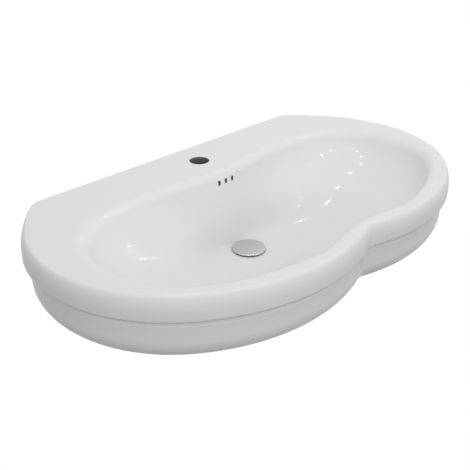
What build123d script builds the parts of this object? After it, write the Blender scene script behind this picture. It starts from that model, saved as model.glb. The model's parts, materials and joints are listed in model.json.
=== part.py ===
"""Double-lobed wall-hung washbasin with a click-clack waste.

The basin is one casting of glazed china: a banded rim with a deck and a tap hole, a lower body
that turns under, a lobed bowl, a waste boss, an overflow channel behind the bowl and a rear cavity
for the tap's tails and the wall bolts. The waste is a slotted brass fitting whose cap is held down
by a latch wire in a heart cam, and sprung up when the cap is pressed.

Millimetres, +Z up, +X to the right of someone at the basin's front, and the front is at -Y. The
back face lies on Y = 0, and the origin is halfway between the two wall fixing holes.
"""

import math
import os

from build123d import *

# ---- basin: plan ----
basin_width = 860.0
basin_depth = 480.0
lobe_front_radius = 340.0
lobe_spread = 58.0  # how much further out the side arc's centre is than the front arc's
lobe_side_radius = 250.0
lobe_back_radius = 415.0
lobe_back_angle = 32.5  # where the side arc meets the back arc, measured from +X
cusp_radius = 30.0
back_corner_cut = 21.0
back_corner_drop = 16.8
back_corner_radius = 43.0
wall_overrun = 10.0  # how far the outline is drawn on past the wall before it is cut there

# ---- basin: profile from the rim down ----
rim_edge_radius = 12.5
back_edge_radius = 4.0
band_height = 43.7
band_taper = 6.5
band_lip = 2.6
band_step = 9.0
flank_height = 34.7
turn_width = 80.0
turn_height = 50.0
turn_nose_radius = 38.0

# ---- basin: walls ----
deck_thickness = 14.0
shell_wall = 11.0
bowl_wall = 11.0
core_overlap = 6.0  # how far the core and what is carried round it share the casting
back_wall = 13.0

# ---- bowl ----
bowl_side_ledge = 73.0
bowl_back_ledge = 108.0
bowl_front_ledge = 34.0
bowl_back_reach = 154.0
bowl_back_squareness = 3.2
bowl_front_squareness = 2.4
back_waist = 29.0
back_waist_spread = 138.0
front_waist = 18.0
front_waist_spread = 80.0
bowl_edge_radius = 11.0
lobe_depth = 105.0
well_depth = 38.5
well_share = 0.62
dish_power = 2.3
bowl_points = 20
bowl_shares = (1.0, 0.96, 0.87, 0.73, 0.55, 0.38, 0.22, 0.1, 0.0)
normal_step = 0.02  # angle each side of a point from which its normal is taken
lobe_lean = 0.55
lobe_lean_spread = 110.0

# ---- openings in the china ----
tap_hole_radius = 18.0
tap_hole_y = -67.0
tap_edge_radius = 1.5
fixing_spacing = 280.0
fixing_hole_radius = 8.0
fixing_drop = 85.0
overflow_count = 3
overflow_pitch = 17.0
overflow_width = 5.2
overflow_height = 12.5
overflow_drop = 26.0
overflow_skin = 2.0  # from the duct's back wall to where the holes start
rear_opening_width = 380.0
rear_opening_depth = 66.0
rear_opening_corner = 18.0
rear_opening_ledge = 8.0

# ---- waste outlet ----
waste_y = -197.0
waste_hole_play = 2.2
waste_boss_wall = 15.0
waste_boss_height = 35.0
waste_boss_flare = 9.0
boss_rim_height = 12.0
seat_depth = 3.5

# ---- overflow channel ----
channel_half_width = 18.0
channel_wall = 7.0
channel_back_y = -102.0
channel_slope_foot = 48.0  # how far behind the outlet the duct's slope ends
channel_exit_height = 20.0

# ---- waste fitting ----
cap_overhang = 1.5
outlet_margin = 2.5
cap_edge = 2.6
cap_edge_bevel = 0.83
cap_crown = 1.1
cap_gap = 2.5
cap_travel = 9.0
cap_press = 2.0
flange_width = 9.2
flange_thickness = 2.5
flange_bevel = 1.0
flange_clearance = 0.5
flange_seal_thickness = 1.0
barrel_wall = 3.3
barrel_radius = 20.8
barrel_length = 82.0
overflow_window_width = 24.0
overflow_window_margin = 1.0
lower_seal_height = 8.0
lower_seal_width = 11.2
lower_seal_bevel = 1.5
lower_seal_cone = 3.0
washer_thickness = 1.5
washer_clearance = 0.4
nut_height = 9.0
nut_wall = 5.2
nut_corner = 3.1
nut_bevel = 2.0
hub_radius = 11.0
hub_height = 8.0
hub_drop = 12.5
arm_count = 3
arm_width = 3.2

# ---- tail pipe ----
tail_radius = 16.0
tail_wall = 1.4
tail_length = 78.0
tail_engagement = 12.0
tail_socket_step = 0.9  # how much wider the pipe's socket is than the throat
tail_collar_height = 4.0
tail_groove_drop = 5.0
tail_ring_section = 2.0
tail_ring_play = 0.3

# ---- cartridge ----
rod_radius = 4.0
neck_radius = 7.0
neck_nut_flats = 19.0
neck_nut_height = 3.0
housing_radius = 10.6
housing_top_wall = 3.0
cam_radius = 8.0
cam_ends = 8.0  # the cam's length beyond its travel
cam_top_gap = 2.5
cam_foot_room = 5.5
track_depth = 1.5
track_floor = 5.4
spring_bore_radius = 4.5
spring_radius = 4.2
spring_wire = 1.0
spring_turns = 5.5
spring_chords = 16
spring_pocket = 12.0
spring_play = 0.3
end_cap_thickness = 2.5
end_cap_spigot = 2.0
drain_radius = 1.5

# ---- latch wire ----
wire_radius = 0.6
wire_bend_radius = 0.78
wire_foot_depth = 1.0  # how deep the wire's foot stands in the housing's wall
wire_tip_clearance = 0.35
latch_length = 14.0
latch_rest_angle = -6.5
latch_turn_per_mm = 1.8
latch_play = 0.25
latch_pocket_room = 0.15
latch_plane_y = 9.5
lane_margin = 2.7  # from the cam's top to the lane's upper end
sleeve_thickness = 0.6
lane_steps = 6
sleeve_overlap = 3.5

# ---- plug on the cap ----
plug_play = 2.5
plug_height = 8.5
plug_wall = 2.0
plug_lip = 1.4
plug_lip_height = 1.2
seal_play = 0.08
seal_height = 3.0
stud_radius = 3.0
stud_length = 8.0
stud_gap = 0.5
stud_boss_wall = 2.5
fit = 0.05  # radial clearance of screwed and sliding fits
overcut = 5.0  # how far a cutter runs past what it cuts

# ---- plan and radii, worked out ----
lobe_front_x = basin_width / 2 - lobe_side_radius - lobe_spread
bowl_half_width = basin_width / 2 - bowl_side_ledge
bowl_middle_y = -bowl_back_ledge - bowl_back_reach
bowl_front_reach = basin_depth - bowl_front_ledge + bowl_middle_y
core_inset = band_step + turn_width
waste_hole_radius = barrel_radius + waste_hole_play
waste_boss_radius = waste_hole_radius + waste_boss_wall
flange_radius = barrel_radius + flange_width
throat_radius = barrel_radius - barrel_wall
lower_seal_radius = barrel_radius + lower_seal_width
nut_flats = 2 * (barrel_radius + nut_wall)
nut_corner_radius = nut_flats / 2 + nut_corner
cap_radius = flange_radius + cap_overhang
outlet_radius = cap_radius + outlet_margin
plug_radius = throat_radius - plug_play
seal_radius = throat_radius - seal_play
tail_socket_radius = throat_radius + tail_socket_step

# ---- levels, worked out ----
rim_z = fixing_drop
band_foot_z = rim_z - band_height
turn_z = band_foot_z - flank_height
body_foot_z = turn_z - turn_height
bowl_floor_z = rim_z - lobe_depth - well_depth
boss_top_z = bowl_floor_z - bowl_wall
boss_foot_z = boss_top_z - waste_boss_height
seat_z = bowl_floor_z - seat_depth
flange_top_z = seat_z + flange_seal_thickness + flange_thickness
flange_under_z = seat_z + flange_seal_thickness
barrel_foot_z = flange_top_z - barrel_length
hub_top_z = flange_top_z - hub_drop
hub_foot_z = hub_top_z - hub_height
housing_top_z = hub_foot_z
chamber_top_z = housing_top_z - housing_top_wall
cam_top_z = chamber_top_z - cap_travel - cam_top_gap
cam_foot_z = cam_top_z - cap_press - cap_travel - cam_ends
spring_top_z = cam_foot_z + spring_pocket
cap_under_z = flange_top_z + cap_gap
plug_foot_z = cap_under_z - plug_height
channel_floor_z = boss_foot_z + channel_wall
tail_groove_z = barrel_foot_z + tail_groove_drop
latch_tip_z = cam_top_z - cap_press - lane_margin
latch_pivot_z = latch_tip_z - latch_length * math.cos(math.radians(latch_rest_angle))
housing_foot_z = cam_foot_z - cam_foot_room


def circle_ring(outer, inner, low, high):
    """A round collar between two heights, about the outlet's axis."""
    face = Circle(outer) - Circle(inner) if inner else Circle(outer)
    return Pos(0, waste_y, low) * extrude(face, high - low)


def slab(x_size, y_low, y_high, low, high, corner=0.0):
    """A block centred on X = 0, with rounded upright corners where asked."""
    face = Pos(0, (y_low + y_high) / 2) * Rectangle(x_size, y_high - y_low)
    if corner:
        face = fillet(face.vertices(), corner)
    return Pos(0, 0, low) * extrude(face, high - low)


def drawn_out(face, half_width):
    """A (Y, Z) face drawn out to both sides of X = 0."""
    return extrude(Plane.YZ * face, half_width, both=True)


def turned(face):
    """A (radius, Z) face revolved about the outlet's axis."""
    return Pos(0, waste_y, 0) * revolve(Plane.XZ * face, Axis.Z)


# ---- outline of the basin, as tangent arcs ----
def outline_arcs():
    """The right half's arcs as (centre, radius, first angle, last angle), front to back."""
    front = Vector(lobe_front_x, -basin_depth + lobe_front_radius)
    side_x = basin_width / 2 - lobe_side_radius
    step = lobe_front_radius - lobe_side_radius
    drop = math.sqrt(step**2 - (side_x - front.X) ** 2)
    side = Vector(side_x, front.Y - drop)
    turn = math.radians(lobe_back_angle)
    back = side - Vector(math.cos(turn), math.sin(turn)) * (lobe_back_radius - lobe_side_radius)
    cusp_drop = math.sqrt((lobe_front_radius + cusp_radius) ** 2 - front.X**2)
    cusp_angle = math.degrees(math.atan2(-cusp_drop, -front.X))
    front_angle = math.degrees(math.atan2(side.Y - front.Y, side.X - front.X))
    past_wall = (wall_overrun - back.Y) / (lobe_back_radius - core_inset - core_overlap)
    back_angle = math.degrees(math.asin(past_wall))
    return [
        (front, lobe_front_radius, cusp_angle, front_angle),
        (side, lobe_side_radius, front_angle, lobe_back_angle),
        (back, lobe_back_radius, lobe_back_angle, back_angle),
    ]


def cusp_arc():
    """The valley between the lobes: centre, radius and half angle. Its centre is in front."""
    reach = lobe_front_radius + cusp_radius
    front_y = -basin_depth + lobe_front_radius
    centre = Vector(0, front_y - math.sqrt(reach**2 - lobe_front_x**2))
    return centre, cusp_radius, math.degrees(math.asin(lobe_front_x / reach))


def outline_face(inset):
    """The plan of the basin, drawn in by an inset, and running on past the wall."""
    edges = []
    for centre, radius, first, last in outline_arcs():
        arc = CenterArc((centre.X, centre.Y), radius - inset, first, last - first)
        edges.append(arc)
        edges.append(mirror(arc, Plane.YZ))
    centre, radius, half = cusp_arc()
    edges.append(CenterArc((centre.X, centre.Y), radius + inset, 90 - half, 2 * half))
    back_end = edges[4] @ 1
    edges.append(Line((-back_end.X, back_end.Y), (back_end.X, back_end.Y)))
    return make_face(edges)


def carry_round(profile):
    """A profile of (inset, height) carried along the outline, for both halves."""
    inward = mirror(Plane.XZ * profile, Plane.YZ)
    half = None
    for centre, radius, first, last in outline_arcs():
        piece = revolve(Pos(radius, 0, 0) * inward, Axis.Z, last - first)
        piece = Pos(centre.X, centre.Y, 0) * Rot(0, 0, first) * piece
        half = piece if half is None else half + piece
    centre, radius, half_angle = cusp_arc()
    valley = revolve(Pos(radius, 0, 0) * (Plane.XZ * profile), Axis.Z, 2 * half_angle)
    valley = Pos(centre.X, centre.Y, 0) * Rot(0, 0, 90 - half_angle) * valley
    return half + valley + mirror(half, Plane.YZ)


def turn_under():
    """The flank's turn to the foot, as (centre, radius, first angle, sweep) of its two arcs."""
    wide = (turn_width - turn_nose_radius) ** 2 + turn_height**2 - turn_nose_radius**2
    wide /= 2 * (turn_height - turn_nose_radius)
    nose = Vector(band_step + turn_nose_radius, turn_z)
    foot = Vector(core_inset, body_foot_z + wide)
    slope = math.degrees(math.atan2(nose.Y - foot.Y, nose.X - foot.X))
    return [(nose, turn_nose_radius, 180, 180 + slope), (foot, wide, slope, -90 - slope)]


def outer_profile():
    """Rim edge, banded side with a small overhang, flank and the turn under it."""
    inner = core_inset + core_overlap
    band_edge = (band_taper, band_foot_z + band_lip)
    lines = Line((inner, rim_z), (rim_edge_radius, rim_z))
    lines += CenterArc((rim_edge_radius, rim_z - rim_edge_radius), rim_edge_radius, 90, 90)
    lines += TangentArc((0, rim_z - rim_edge_radius), band_edge, tangent=(0, -1))
    lines += Line(band_edge, (band_step, band_foot_z))
    lines += Line((band_step, band_foot_z), (band_step, turn_z))
    for centre, radius, first, sweep_angle in turn_under():
        lines += CenterArc((centre.X, centre.Y), radius, first, sweep_angle)
    lines += Line((core_inset, body_foot_z), (inner, body_foot_z))
    lines += Line((inner, body_foot_z), (inner, rim_z))
    return make_face(lines)


def cavity_profile():
    """The inside of the shell: straight runs, at least one shell wall in from the turn."""
    inner = core_inset + core_overlap
    side = band_step + shell_wall
    top = rim_z - deck_thickness
    foot = body_foot_z + shell_wall
    nose, radius, first, sweep_angle = turn_under()[0]
    bend = math.radians(first + sweep_angle)
    knee = nose + Vector(math.cos(bend), math.sin(bend)) * (radius - shell_wall)
    points = [(inner, top), (side, top), (side, turn_z), (knee.X, knee.Y), (core_inset, foot), (inner, foot)]
    return make_face(Polyline(*points, close=True))


def core(low, high):
    """The middle of the casting, inside what is carried round the outline."""
    return Pos(0, 0, low) * extrude(outline_face(core_inset), high - low)


def corner_cutters():
    """What the rounding of the two back corners takes away."""
    centre, radius = outline_arcs()[2][:2]
    corner_x = centre.X + math.sqrt(radius**2 - centre.Y**2)
    side_x = centre.X + math.sqrt(radius**2 - (-back_corner_drop - centre.Y) ** 2)
    start = (corner_x - back_corner_cut, 0)
    end = (side_x, -back_corner_drop)
    far = corner_x + 2 * back_corner_cut
    lines = RadiusArc(start, end, back_corner_radius)
    lines += Polyline(end, (far, -back_corner_drop), (far, overcut), (start[0], overcut), start)
    tool = Pos(0, 0, boss_foot_z) * extrude(make_face(lines), rim_z - boss_foot_z + overcut)
    return tool + mirror(tool, Plane.YZ)


def back_edge_cutter():
    """What the rounding of the deck's straight back edge takes away."""
    low = rim_z - back_edge_radius
    lines = CenterArc((-back_edge_radius, low), back_edge_radius, 0, 90)
    lines += Polyline(
        (-back_edge_radius, rim_z), (-back_edge_radius, rim_z + overcut), (overcut, rim_z + overcut),
        (overcut, low), (0, low)
    )
    return drawn_out(make_face(lines), basin_width)


# ---- bowl ----
def bowl_edge(angle):
    """A point of the bowl's edge on the deck: a squared oval with a waist at front and back."""
    cosine = math.cos(angle)
    sine = math.sin(angle)
    at_back = sine >= 0
    power = bowl_back_squareness if at_back else bowl_front_squareness
    reach = bowl_back_reach if at_back else -bowl_front_reach
    waist = back_waist if at_back else -front_waist
    spread = back_waist_spread if at_back else front_waist_spread
    x = bowl_half_width * math.copysign(abs(cosine) ** (2 / power), cosine)
    y = reach * abs(sine) ** (2 / power)
    fade = min(1.0, abs(sine) * 3)
    return x, bowl_middle_y + y - waist * fade * math.exp(-((x / spread) ** 2))


def bowl_depth_at(share):
    """Depth under the rim where the bowl has closed in to this share of its edge."""
    dish = lobe_depth * (1 - share**dish_power) ** (1 / dish_power)
    well = 0.0
    if share < well_share:
        well = well_depth * 0.5 * (1 + math.cos(math.pi * share / well_share))
    return dish + well


def bowl_point(share, angle):
    """A point of a level curve, from the lobed edge (share 1) to the round outlet (share 0)."""
    edge_x, edge_y = bowl_edge(angle)
    ring_x = outlet_radius * math.cos(angle)
    ring_y = waste_y + outlet_radius * math.sin(angle)
    x = ring_x + share * (edge_x - ring_x)
    y = ring_y + share * (edge_y - ring_y)
    lean = 4 * share * (1 - share) * lobe_lean * (bowl_middle_y - waste_y)
    return Vector(x, y + lean * (1 - math.exp(-((x / lobe_lean_spread) ** 2))))


def bowl_section(share, grow, depth):
    """One level of the bowl as a face, moved out along its normals by a wall."""
    points = []
    step = 2 * math.pi / bowl_points
    for i in range(bowl_points):
        angle = step * (i + 0.5)
        along = bowl_point(share, angle + normal_step) - bowl_point(share, angle - normal_step)
        outward = Vector(along.Y, -along.X).normalized()
        points.append(bowl_point(share, angle) + outward * grow)
    return Pos(0, 0, rim_z - depth) * make_face(Spline(points, periodic=True))


def bowl_hollow():
    """What the bowl takes out of the casting, run up a little past the deck."""
    sections = [bowl_section(1.0, 0.0, -overcut)]
    sections += [bowl_section(share, 0.0, bowl_depth_at(share)) for share in bowl_shares]
    return loft(sections)


def bowl_casing():
    """The outside of the bowl's wall."""
    sections = []
    for share in bowl_shares:
        depth = bowl_depth_at(share) + bowl_wall * math.sqrt(1 - share)
        sections.append(bowl_section(share, bowl_wall, depth))
    return loft(sections, ruled=True)


# ---- basin casting ----
def waste_boss():
    """The thick ring that the waste is clamped to, flared where it meets the bowl."""
    top = bowl_floor_z - seat_depth
    flare_z = boss_foot_z + boss_rim_height
    flare = waste_boss_radius + waste_boss_flare
    points = [
        (0, boss_foot_z), (waste_boss_radius, boss_foot_z), (waste_boss_radius, flare_z), (flare, top),
        (0, top)
    ]
    return turned(make_face(Polyline(*points, close=True)))


def channel_outline():
    """The overflow duct in (Y, Z): down behind the bowl, then forward under it to the outlet."""
    top = rim_z - deck_thickness
    knee_z = body_foot_z + shell_wall + channel_wall
    slope_y = waste_y + channel_slope_foot
    points = [
        (channel_back_y, top), (channel_back_y, knee_z), (slope_y, channel_floor_z),
        (waste_y, channel_floor_z), (waste_y, top)
    ]
    return make_face(Polyline(*points, close=True))


def channel_block():
    """The duct's outside, one wall larger all round."""
    return drawn_out(offset(channel_outline(), channel_wall), channel_half_width + channel_wall)


def overflow_holes():
    """Upright oval holes through the bowl's back wall, side by side."""
    slots = Sketch() + GridLocations(overflow_pitch, 1, overflow_count, 1) * SlotOverall(
        overflow_height, overflow_width, rotation=90
    )
    holes = extrude(Plane.XZ * slots, channel_back_y - waste_y)
    return Pos(0, channel_back_y - overflow_skin, rim_z - overflow_drop) * holes


def tap_hole():
    """The hole through the deck, with its rounded glazed edge."""
    top = tap_hole_radius + tap_edge_radius
    round_z = rim_z - tap_edge_radius
    low = rim_z - deck_thickness - overcut
    lines = Polyline((0, rim_z + overcut), (top, rim_z + overcut), (top, rim_z))
    lines += CenterArc((top, round_z), tap_edge_radius, 90, 90)
    lines += Polyline((tap_hole_radius, round_z), (tap_hole_radius, low), (0, low), (0, rim_z + overcut))
    return Pos(0, tap_hole_y, 0) * revolve(Plane.XZ * make_face(lines), Axis.Z)


def fixing_holes():
    """Two holes through the back wall for the wall bolts."""
    holes = Sketch() + GridLocations(fixing_spacing, 1, 2, 1) * Circle(fixing_hole_radius)
    return Pos(0, overcut, 0) * extrude(Plane.XZ * holes, back_wall + 2 * overcut)


def rear_opening():
    """The mouth of the rear cavity in the foot, for the tap's tails and a spanner."""
    back = -back_wall - rear_opening_ledge
    low = body_foot_z - overcut
    high = body_foot_z + shell_wall + 1
    return slab(rear_opening_width, back - rear_opening_depth, back, low, high, rear_opening_corner)


def basin():
    casing = bowl_casing()
    duct_wall = channel_block()
    front_y = -2 * basin_depth
    behind_wall = slab(2 * basin_width, front_y, 0, boss_foot_z - overcut, rim_z + overcut)
    body = carry_round(outer_profile()) + core(body_foot_z, rim_z)
    body = (body & behind_wall) - corner_cutters() - back_edge_cutter()
    cavity = carry_round(cavity_profile()) + core(body_foot_z + shell_wall, rim_z - deck_thickness)
    cavity &= slab(2 * basin_width, front_y, -back_wall, boss_foot_z, rim_z)
    cavity = cavity - casing - duct_wall
    body = body + casing + waste_boss() + duct_wall - cavity
    body -= drawn_out(channel_outline(), channel_half_width) - casing
    body -= bowl_hollow()
    deck_edges = body.edges().filter_by_position(Axis.Z, rim_z - fit, rim_z + fit)
    body = fillet(deck_edges.sort_by(Edge.length)[-1], bowl_edge_radius)
    body -= circle_ring(flange_radius + flange_clearance, 0, seat_z, bowl_floor_z + overcut)
    body -= circle_ring(waste_hole_radius, 0, boss_foot_z - overcut, seat_z + overcut)
    return body - overflow_holes() - tap_hole() - fixing_holes() - rear_opening()


# ---- waste fitting, fixed pieces ----
def waste_body():
    """Flange, slotted barrel and the three-armed hub that carries the cartridge."""
    body = circle_ring(flange_radius, 0, flange_under_z, flange_top_z)
    body = chamfer(body.edges().group_by(Axis.Z)[-1], flange_bevel)
    body += circle_ring(barrel_radius, 0, barrel_foot_z, flange_under_z)
    body -= circle_ring(throat_radius, 0, barrel_foot_z - overcut, flange_top_z + overcut)
    mouth = body.edges().filter_by(GeomType.CIRCLE).group_by(Axis.Z)[-1].sort_by(Edge.length)[0]
    body = chamfer(mouth, flange_thickness)
    window_low = channel_floor_z + overflow_window_margin
    window_high = channel_floor_z + channel_exit_height - overflow_window_margin
    reach = barrel_radius + overcut
    body -= slab(overflow_window_width, waste_y - reach, waste_y + reach, window_low, window_high)
    arms = circle_ring(hub_radius, 0, hub_foot_z, hub_top_z)
    arm_length = (throat_radius + barrel_radius) / 2
    arm = Box(arm_length, arm_width, hub_height, align=(Align.MIN, Align.CENTER, Align.MIN))
    for i in range(arm_count):
        arms += Pos(0, waste_y, hub_foot_z) * Rot(0, 0, 90 + 360 / arm_count * i) * arm
    body += arms
    body -= circle_ring(neck_radius + fit, 0, hub_foot_z - overcut, hub_top_z + overcut)
    tail_seat = barrel_foot_z + tail_engagement + 1
    return body - circle_ring(tail_socket_radius, 0, barrel_foot_z - overcut, tail_seat)


def flange_seal():
    inner = barrel_radius + washer_clearance
    return circle_ring(flange_radius - flange_clearance, inner, seat_z, flange_under_z)


def lower_seal():
    """Rubber ring whose cone enters the outlet from below."""
    inner = barrel_radius + fit
    top_z = boss_foot_z + lower_seal_cone
    low_z = boss_foot_z - lower_seal_height
    points = [
        (inner, top_z), (waste_hole_radius - 4 * fit, top_z), (waste_hole_radius - fit, boss_foot_z),
        (lower_seal_radius, boss_foot_z), (lower_seal_radius - lower_seal_bevel, low_z), (inner, low_z)
    ]
    return turned(make_face(Polyline(*points, close=True)))


def slip_washer():
    top = boss_foot_z - lower_seal_height
    outer = lower_seal_radius - lower_seal_bevel
    return circle_ring(outer, barrel_radius + washer_clearance, top - washer_thickness, top)


def hexagon(flats, low, high):
    """A six-sided bar about the outlet's axis, by its width across flats."""
    bar = extrude(RegularPolygon(flats / 2, 6, major_radius=False), high - low)
    return Pos(0, waste_y, low) * bar


def lock_nut():
    """Hexagon nut with its corners turned off."""
    top = boss_foot_z - lower_seal_height - washer_thickness
    low = top - nut_height
    blank = circle_ring(nut_corner_radius, 0, low, top)
    blank = chamfer(blank.edges().filter_by(GeomType.CIRCLE), nut_bevel)
    nut = hexagon(nut_flats, low, top) & blank
    return nut - circle_ring(barrel_radius + fit, 0, low - overcut, top + overcut)


def tail_pipe():
    """Outlet pipe, with a thick screwed head and a groove for its ring."""
    top = barrel_foot_z + tail_engagement
    foot = barrel_foot_z - tail_length
    pipe = circle_ring(tail_radius, 0, foot, top)
    pipe += circle_ring(tail_socket_radius - fit, 0, barrel_foot_z, top)
    pipe += circle_ring(barrel_radius, 0, barrel_foot_z - tail_collar_height, barrel_foot_z)
    pipe -= circle_ring(tail_radius - tail_wall, 0, foot - overcut, top + overcut)
    floor = tail_socket_radius - tail_ring_section - 2 * fit
    groove_top = tail_groove_z + tail_ring_section + 2 * tail_ring_play
    return pipe - circle_ring(tail_socket_radius, floor, tail_groove_z, groove_top)


def tail_seal():
    """Square ring in the groove of the tail pipe's head."""
    low = tail_groove_z + tail_ring_play
    inner = tail_socket_radius - tail_ring_section
    return circle_ring(tail_socket_radius - fit / 2, inner, low, low + tail_ring_section)


# ---- cartridge ----
def latch_x(travel):
    """How far the wire's tip lies beside the axis, for a travel of the cap."""
    return latch_length * math.sin(math.radians(latch_rest_angle + latch_turn_per_mm * travel))


def cartridge_housing():
    """Screwed neck, cam chamber, fan-shaped pocket and window for the latch wire."""
    neck_top_z = hub_top_z + neck_nut_height + 1
    body = circle_ring(housing_radius, 0, housing_foot_z, housing_top_z)
    body += circle_ring(neck_radius, 0, housing_top_z, neck_top_z)
    body -= circle_ring(cam_radius + fit, 0, housing_foot_z - overcut, chamber_top_z)
    body -= circle_ring(rod_radius + fit, 0, chamber_top_z - 1, neck_top_z + overcut)
    body -= latch_pocket() + latch_window()
    pivot = extrude(Plane.XZ * Circle(wire_radius + fit), housing_radius)
    return body - Pos(0, waste_y - cam_radius + wire_foot_depth, latch_pivot_z) * pivot


def latch_pocket():
    """A fan cut in from the housing's front, in which the wire swings."""
    room = wire_radius + latch_play + latch_pocket_room
    low = latch_x(-cap_press) - room
    high = latch_x(cap_travel) + room
    foot = latch_pivot_z - room
    top = latch_tip_z + room
    fan = make_face(Polyline(
        (-room, foot), (room, foot), (room, latch_pivot_z), (high, top), (low, top), (-room, latch_pivot_z),
        close=True
    ))
    floor_y = latch_plane_y - wire_radius - latch_pocket_room
    return Pos(0, waste_y - floor_y, 0) * extrude(Plane.XZ * fan, housing_radius)


def latch_window():
    """The opening through the chamber wall for the wire's tip."""
    room = wire_radius + latch_play
    low = latch_x(-cap_press) - room
    high = latch_x(cap_travel) + room
    face = Pos((low + high) / 2, latch_tip_z) * Rectangle(high - low, 2 * (room + latch_pocket_room))
    return Pos(0, waste_y - track_floor, 0) * extrude(Plane.XZ * face, housing_radius)


def cartridge_nut():
    """Thin nut that holds the cartridge in the hub."""
    top = hub_top_z + neck_nut_height
    nut = hexagon(neck_nut_flats, hub_top_z, top)
    return nut - circle_ring(neck_radius + fit, 0, hub_top_z - overcut, top + overcut)


def cartridge_sleeve():
    """Thin cover that keeps the latch wire in its pocket."""
    inner = housing_radius + fit
    low = latch_pivot_z - sleeve_overlap
    return circle_ring(inner + sleeve_thickness, inner, low, latch_tip_z + sleeve_overlap)


def end_cap():
    """Bottom of the cartridge, with a drain hole and a spigot for the spring."""
    low = housing_foot_z - end_cap_thickness
    high = housing_foot_z + end_cap_spigot
    body = circle_ring(housing_radius, 0, low, housing_foot_z)
    body += circle_ring(spring_radius - spring_wire - spring_play, 0, housing_foot_z, high)
    return body - circle_ring(drain_radius, 0, low - overcut, high + overcut)


def latch_wire():
    """A bent wire: foot in the housing, upright in the pocket, tip in the cam track."""
    foot = Vector(0, waste_y - latch_plane_y, latch_pivot_z)
    tip = Vector(latch_x(0), waste_y - latch_plane_y, latch_tip_z)
    foot_end = foot + Vector(0, latch_plane_y - cam_radius - wire_foot_depth / 2, 0)
    tip_end = tip + Vector(0, latch_plane_y - track_floor - wire_tip_clearance, 0)
    path = FilletPolyline(foot_end, foot, tip, tip_end, radius=wire_bend_radius)
    start = Plane(origin=foot_end, z_dir=(0, -1, 0))
    return sweep(start * Circle(wire_radius), path)


def spring():
    """Compression spring between the cam's pocket and the end cap, as short straight chords."""
    low = housing_foot_z + spring_wire
    height = spring_top_z - spring_wire - low
    radius = spring_radius - spring_wire / 2
    chords = round(spring_turns * spring_chords)
    points = []
    for i in range(chords + 1):
        angle = 2 * math.pi * i / spring_chords
        points.append((radius * math.cos(angle), radius * math.sin(angle), height * i / chords))
    path = Polyline(*points)
    start = Plane(origin=path @ 0, z_dir=path % 0)
    coil = sweep(start * RegularPolygon(spring_wire / 2, 8), path, transition=Transition.RIGHT)
    return Pos(0, waste_y, low) * coil


# ---- moving plug ----
def cap():
    """Domed cap over a short hollow plug with a screwed boss."""
    top = cap_under_z + cap_edge
    brim = cap_radius - cap_edge_bevel
    dome = (brim**2 + cap_crown**2) / (2 * cap_crown)
    lines = Polyline(
        (0, top + cap_crown), (0, cap_under_z), (brim, cap_under_z),
        (cap_radius, cap_under_z + cap_edge_bevel), (cap_radius, top - cap_edge_bevel), (brim, top)
    )
    lines += RadiusArc((brim, top), (0, top + cap_crown), -dome)
    body = turned(make_face(lines))
    body += circle_ring(plug_radius, 0, plug_foot_z, cap_under_z)
    body += circle_ring(plug_radius + plug_lip, 0, plug_foot_z, plug_foot_z + plug_lip_height)
    low = plug_foot_z - overcut
    body -= circle_ring(plug_radius - plug_wall, stud_radius + stud_boss_wall, low, cap_under_z - 1)
    return body - circle_ring(stud_radius + fit, 0, low, plug_foot_z + stud_length)


def cap_seal():
    """Lip ring round the plug, sliding in the throat."""
    low = plug_foot_z + plug_lip_height
    return circle_ring(seal_radius, plug_radius, low, low + seal_height)


def plunger():
    """Screwed stud, guide rod and the cam with its heart-shaped track."""
    body = circle_ring(stud_radius, 0, plug_foot_z, plug_foot_z + stud_length - stud_gap)
    body += circle_ring(rod_radius, 0, cam_top_z, plug_foot_z)
    body += circle_ring(cam_radius, 0, cam_foot_z, cam_top_z)
    body -= circle_ring(spring_bore_radius, 0, cam_foot_z - overcut, spring_top_z)
    return body - cam_flat() - cam_track()


def cam_flat():
    """The flat on the cam's front, in which the track lies."""
    front = waste_y - track_floor - track_depth
    return slab(4 * cam_radius, waste_y - 2 * cam_radius, front, cam_foot_z - 1, cam_top_z + 1)


def cam_track():
    """The diagonal lane and the straight lane of the track, round the heart's island."""
    lane = []
    for i in range(lane_steps + 1):
        travel = -cap_press + (cap_travel + cap_press) * i / lane_steps
        angle = math.radians(latch_rest_angle + latch_turn_per_mm * travel)
        lane.append(Vector(latch_x(travel), latch_pivot_z + latch_length * math.cos(angle) - travel))
    straight = [lane[-1], Vector(lane[-1].X, lane[0].Y), lane[0]]
    cut = Sketch()
    for path in (lane, straight):
        for start, last in zip(path, path[1:]):
            run = last - start
            bar = Pos(run.length / 2, 0) * SlotCenterToCenter(run.length, 2 * (wire_radius + latch_play))
            turn = math.degrees(math.atan2(run.Y, run.X))
            cut += Pos(start.X, start.Y) * Rot(0, 0, turn) * bar
    return Pos(0, waste_y - track_floor, 0) * extrude(Plane.XZ * cut, 2 * cam_radius)


PIECES = {
    "basin": basin,
    "waste_body": waste_body,
    "flange_seal": flange_seal,
    "lower_seal": lower_seal,
    "slip_washer": slip_washer,
    "lock_nut": lock_nut,
    "tail_pipe": tail_pipe,
    "tail_seal": tail_seal,
    "cartridge_housing": cartridge_housing,
    "cartridge_nut": cartridge_nut,
    "cartridge_sleeve": cartridge_sleeve,
    "cartridge_end_cap": end_cap,
    "cartridge_spring": spring,
    "latch_wire": latch_wire,
    "plunger": plunger,
    "cap": cap,
    "cap_seal": cap_seal,
}


def main():
    os.makedirs("parts", exist_ok=True)
    for name, make in PIECES.items():
        piece = make()
        piece.label = name
        export_step(piece, f"parts/{name}.step")


if __name__ == "__main__":
    main()
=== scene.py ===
"""Looks for a double-lobed wall-hung washbasin with a push-to-open waste.

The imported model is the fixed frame. The china, the waste's flange and barrel, the cap, its lip seal
and the cartridge's spring are modelled here at the frame's own sizes, and every other piece keeps its
shape and gets its finish. Lengths are in metres: +X is to the right of someone at the basin, and the
front is at -Y.
"""

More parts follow.
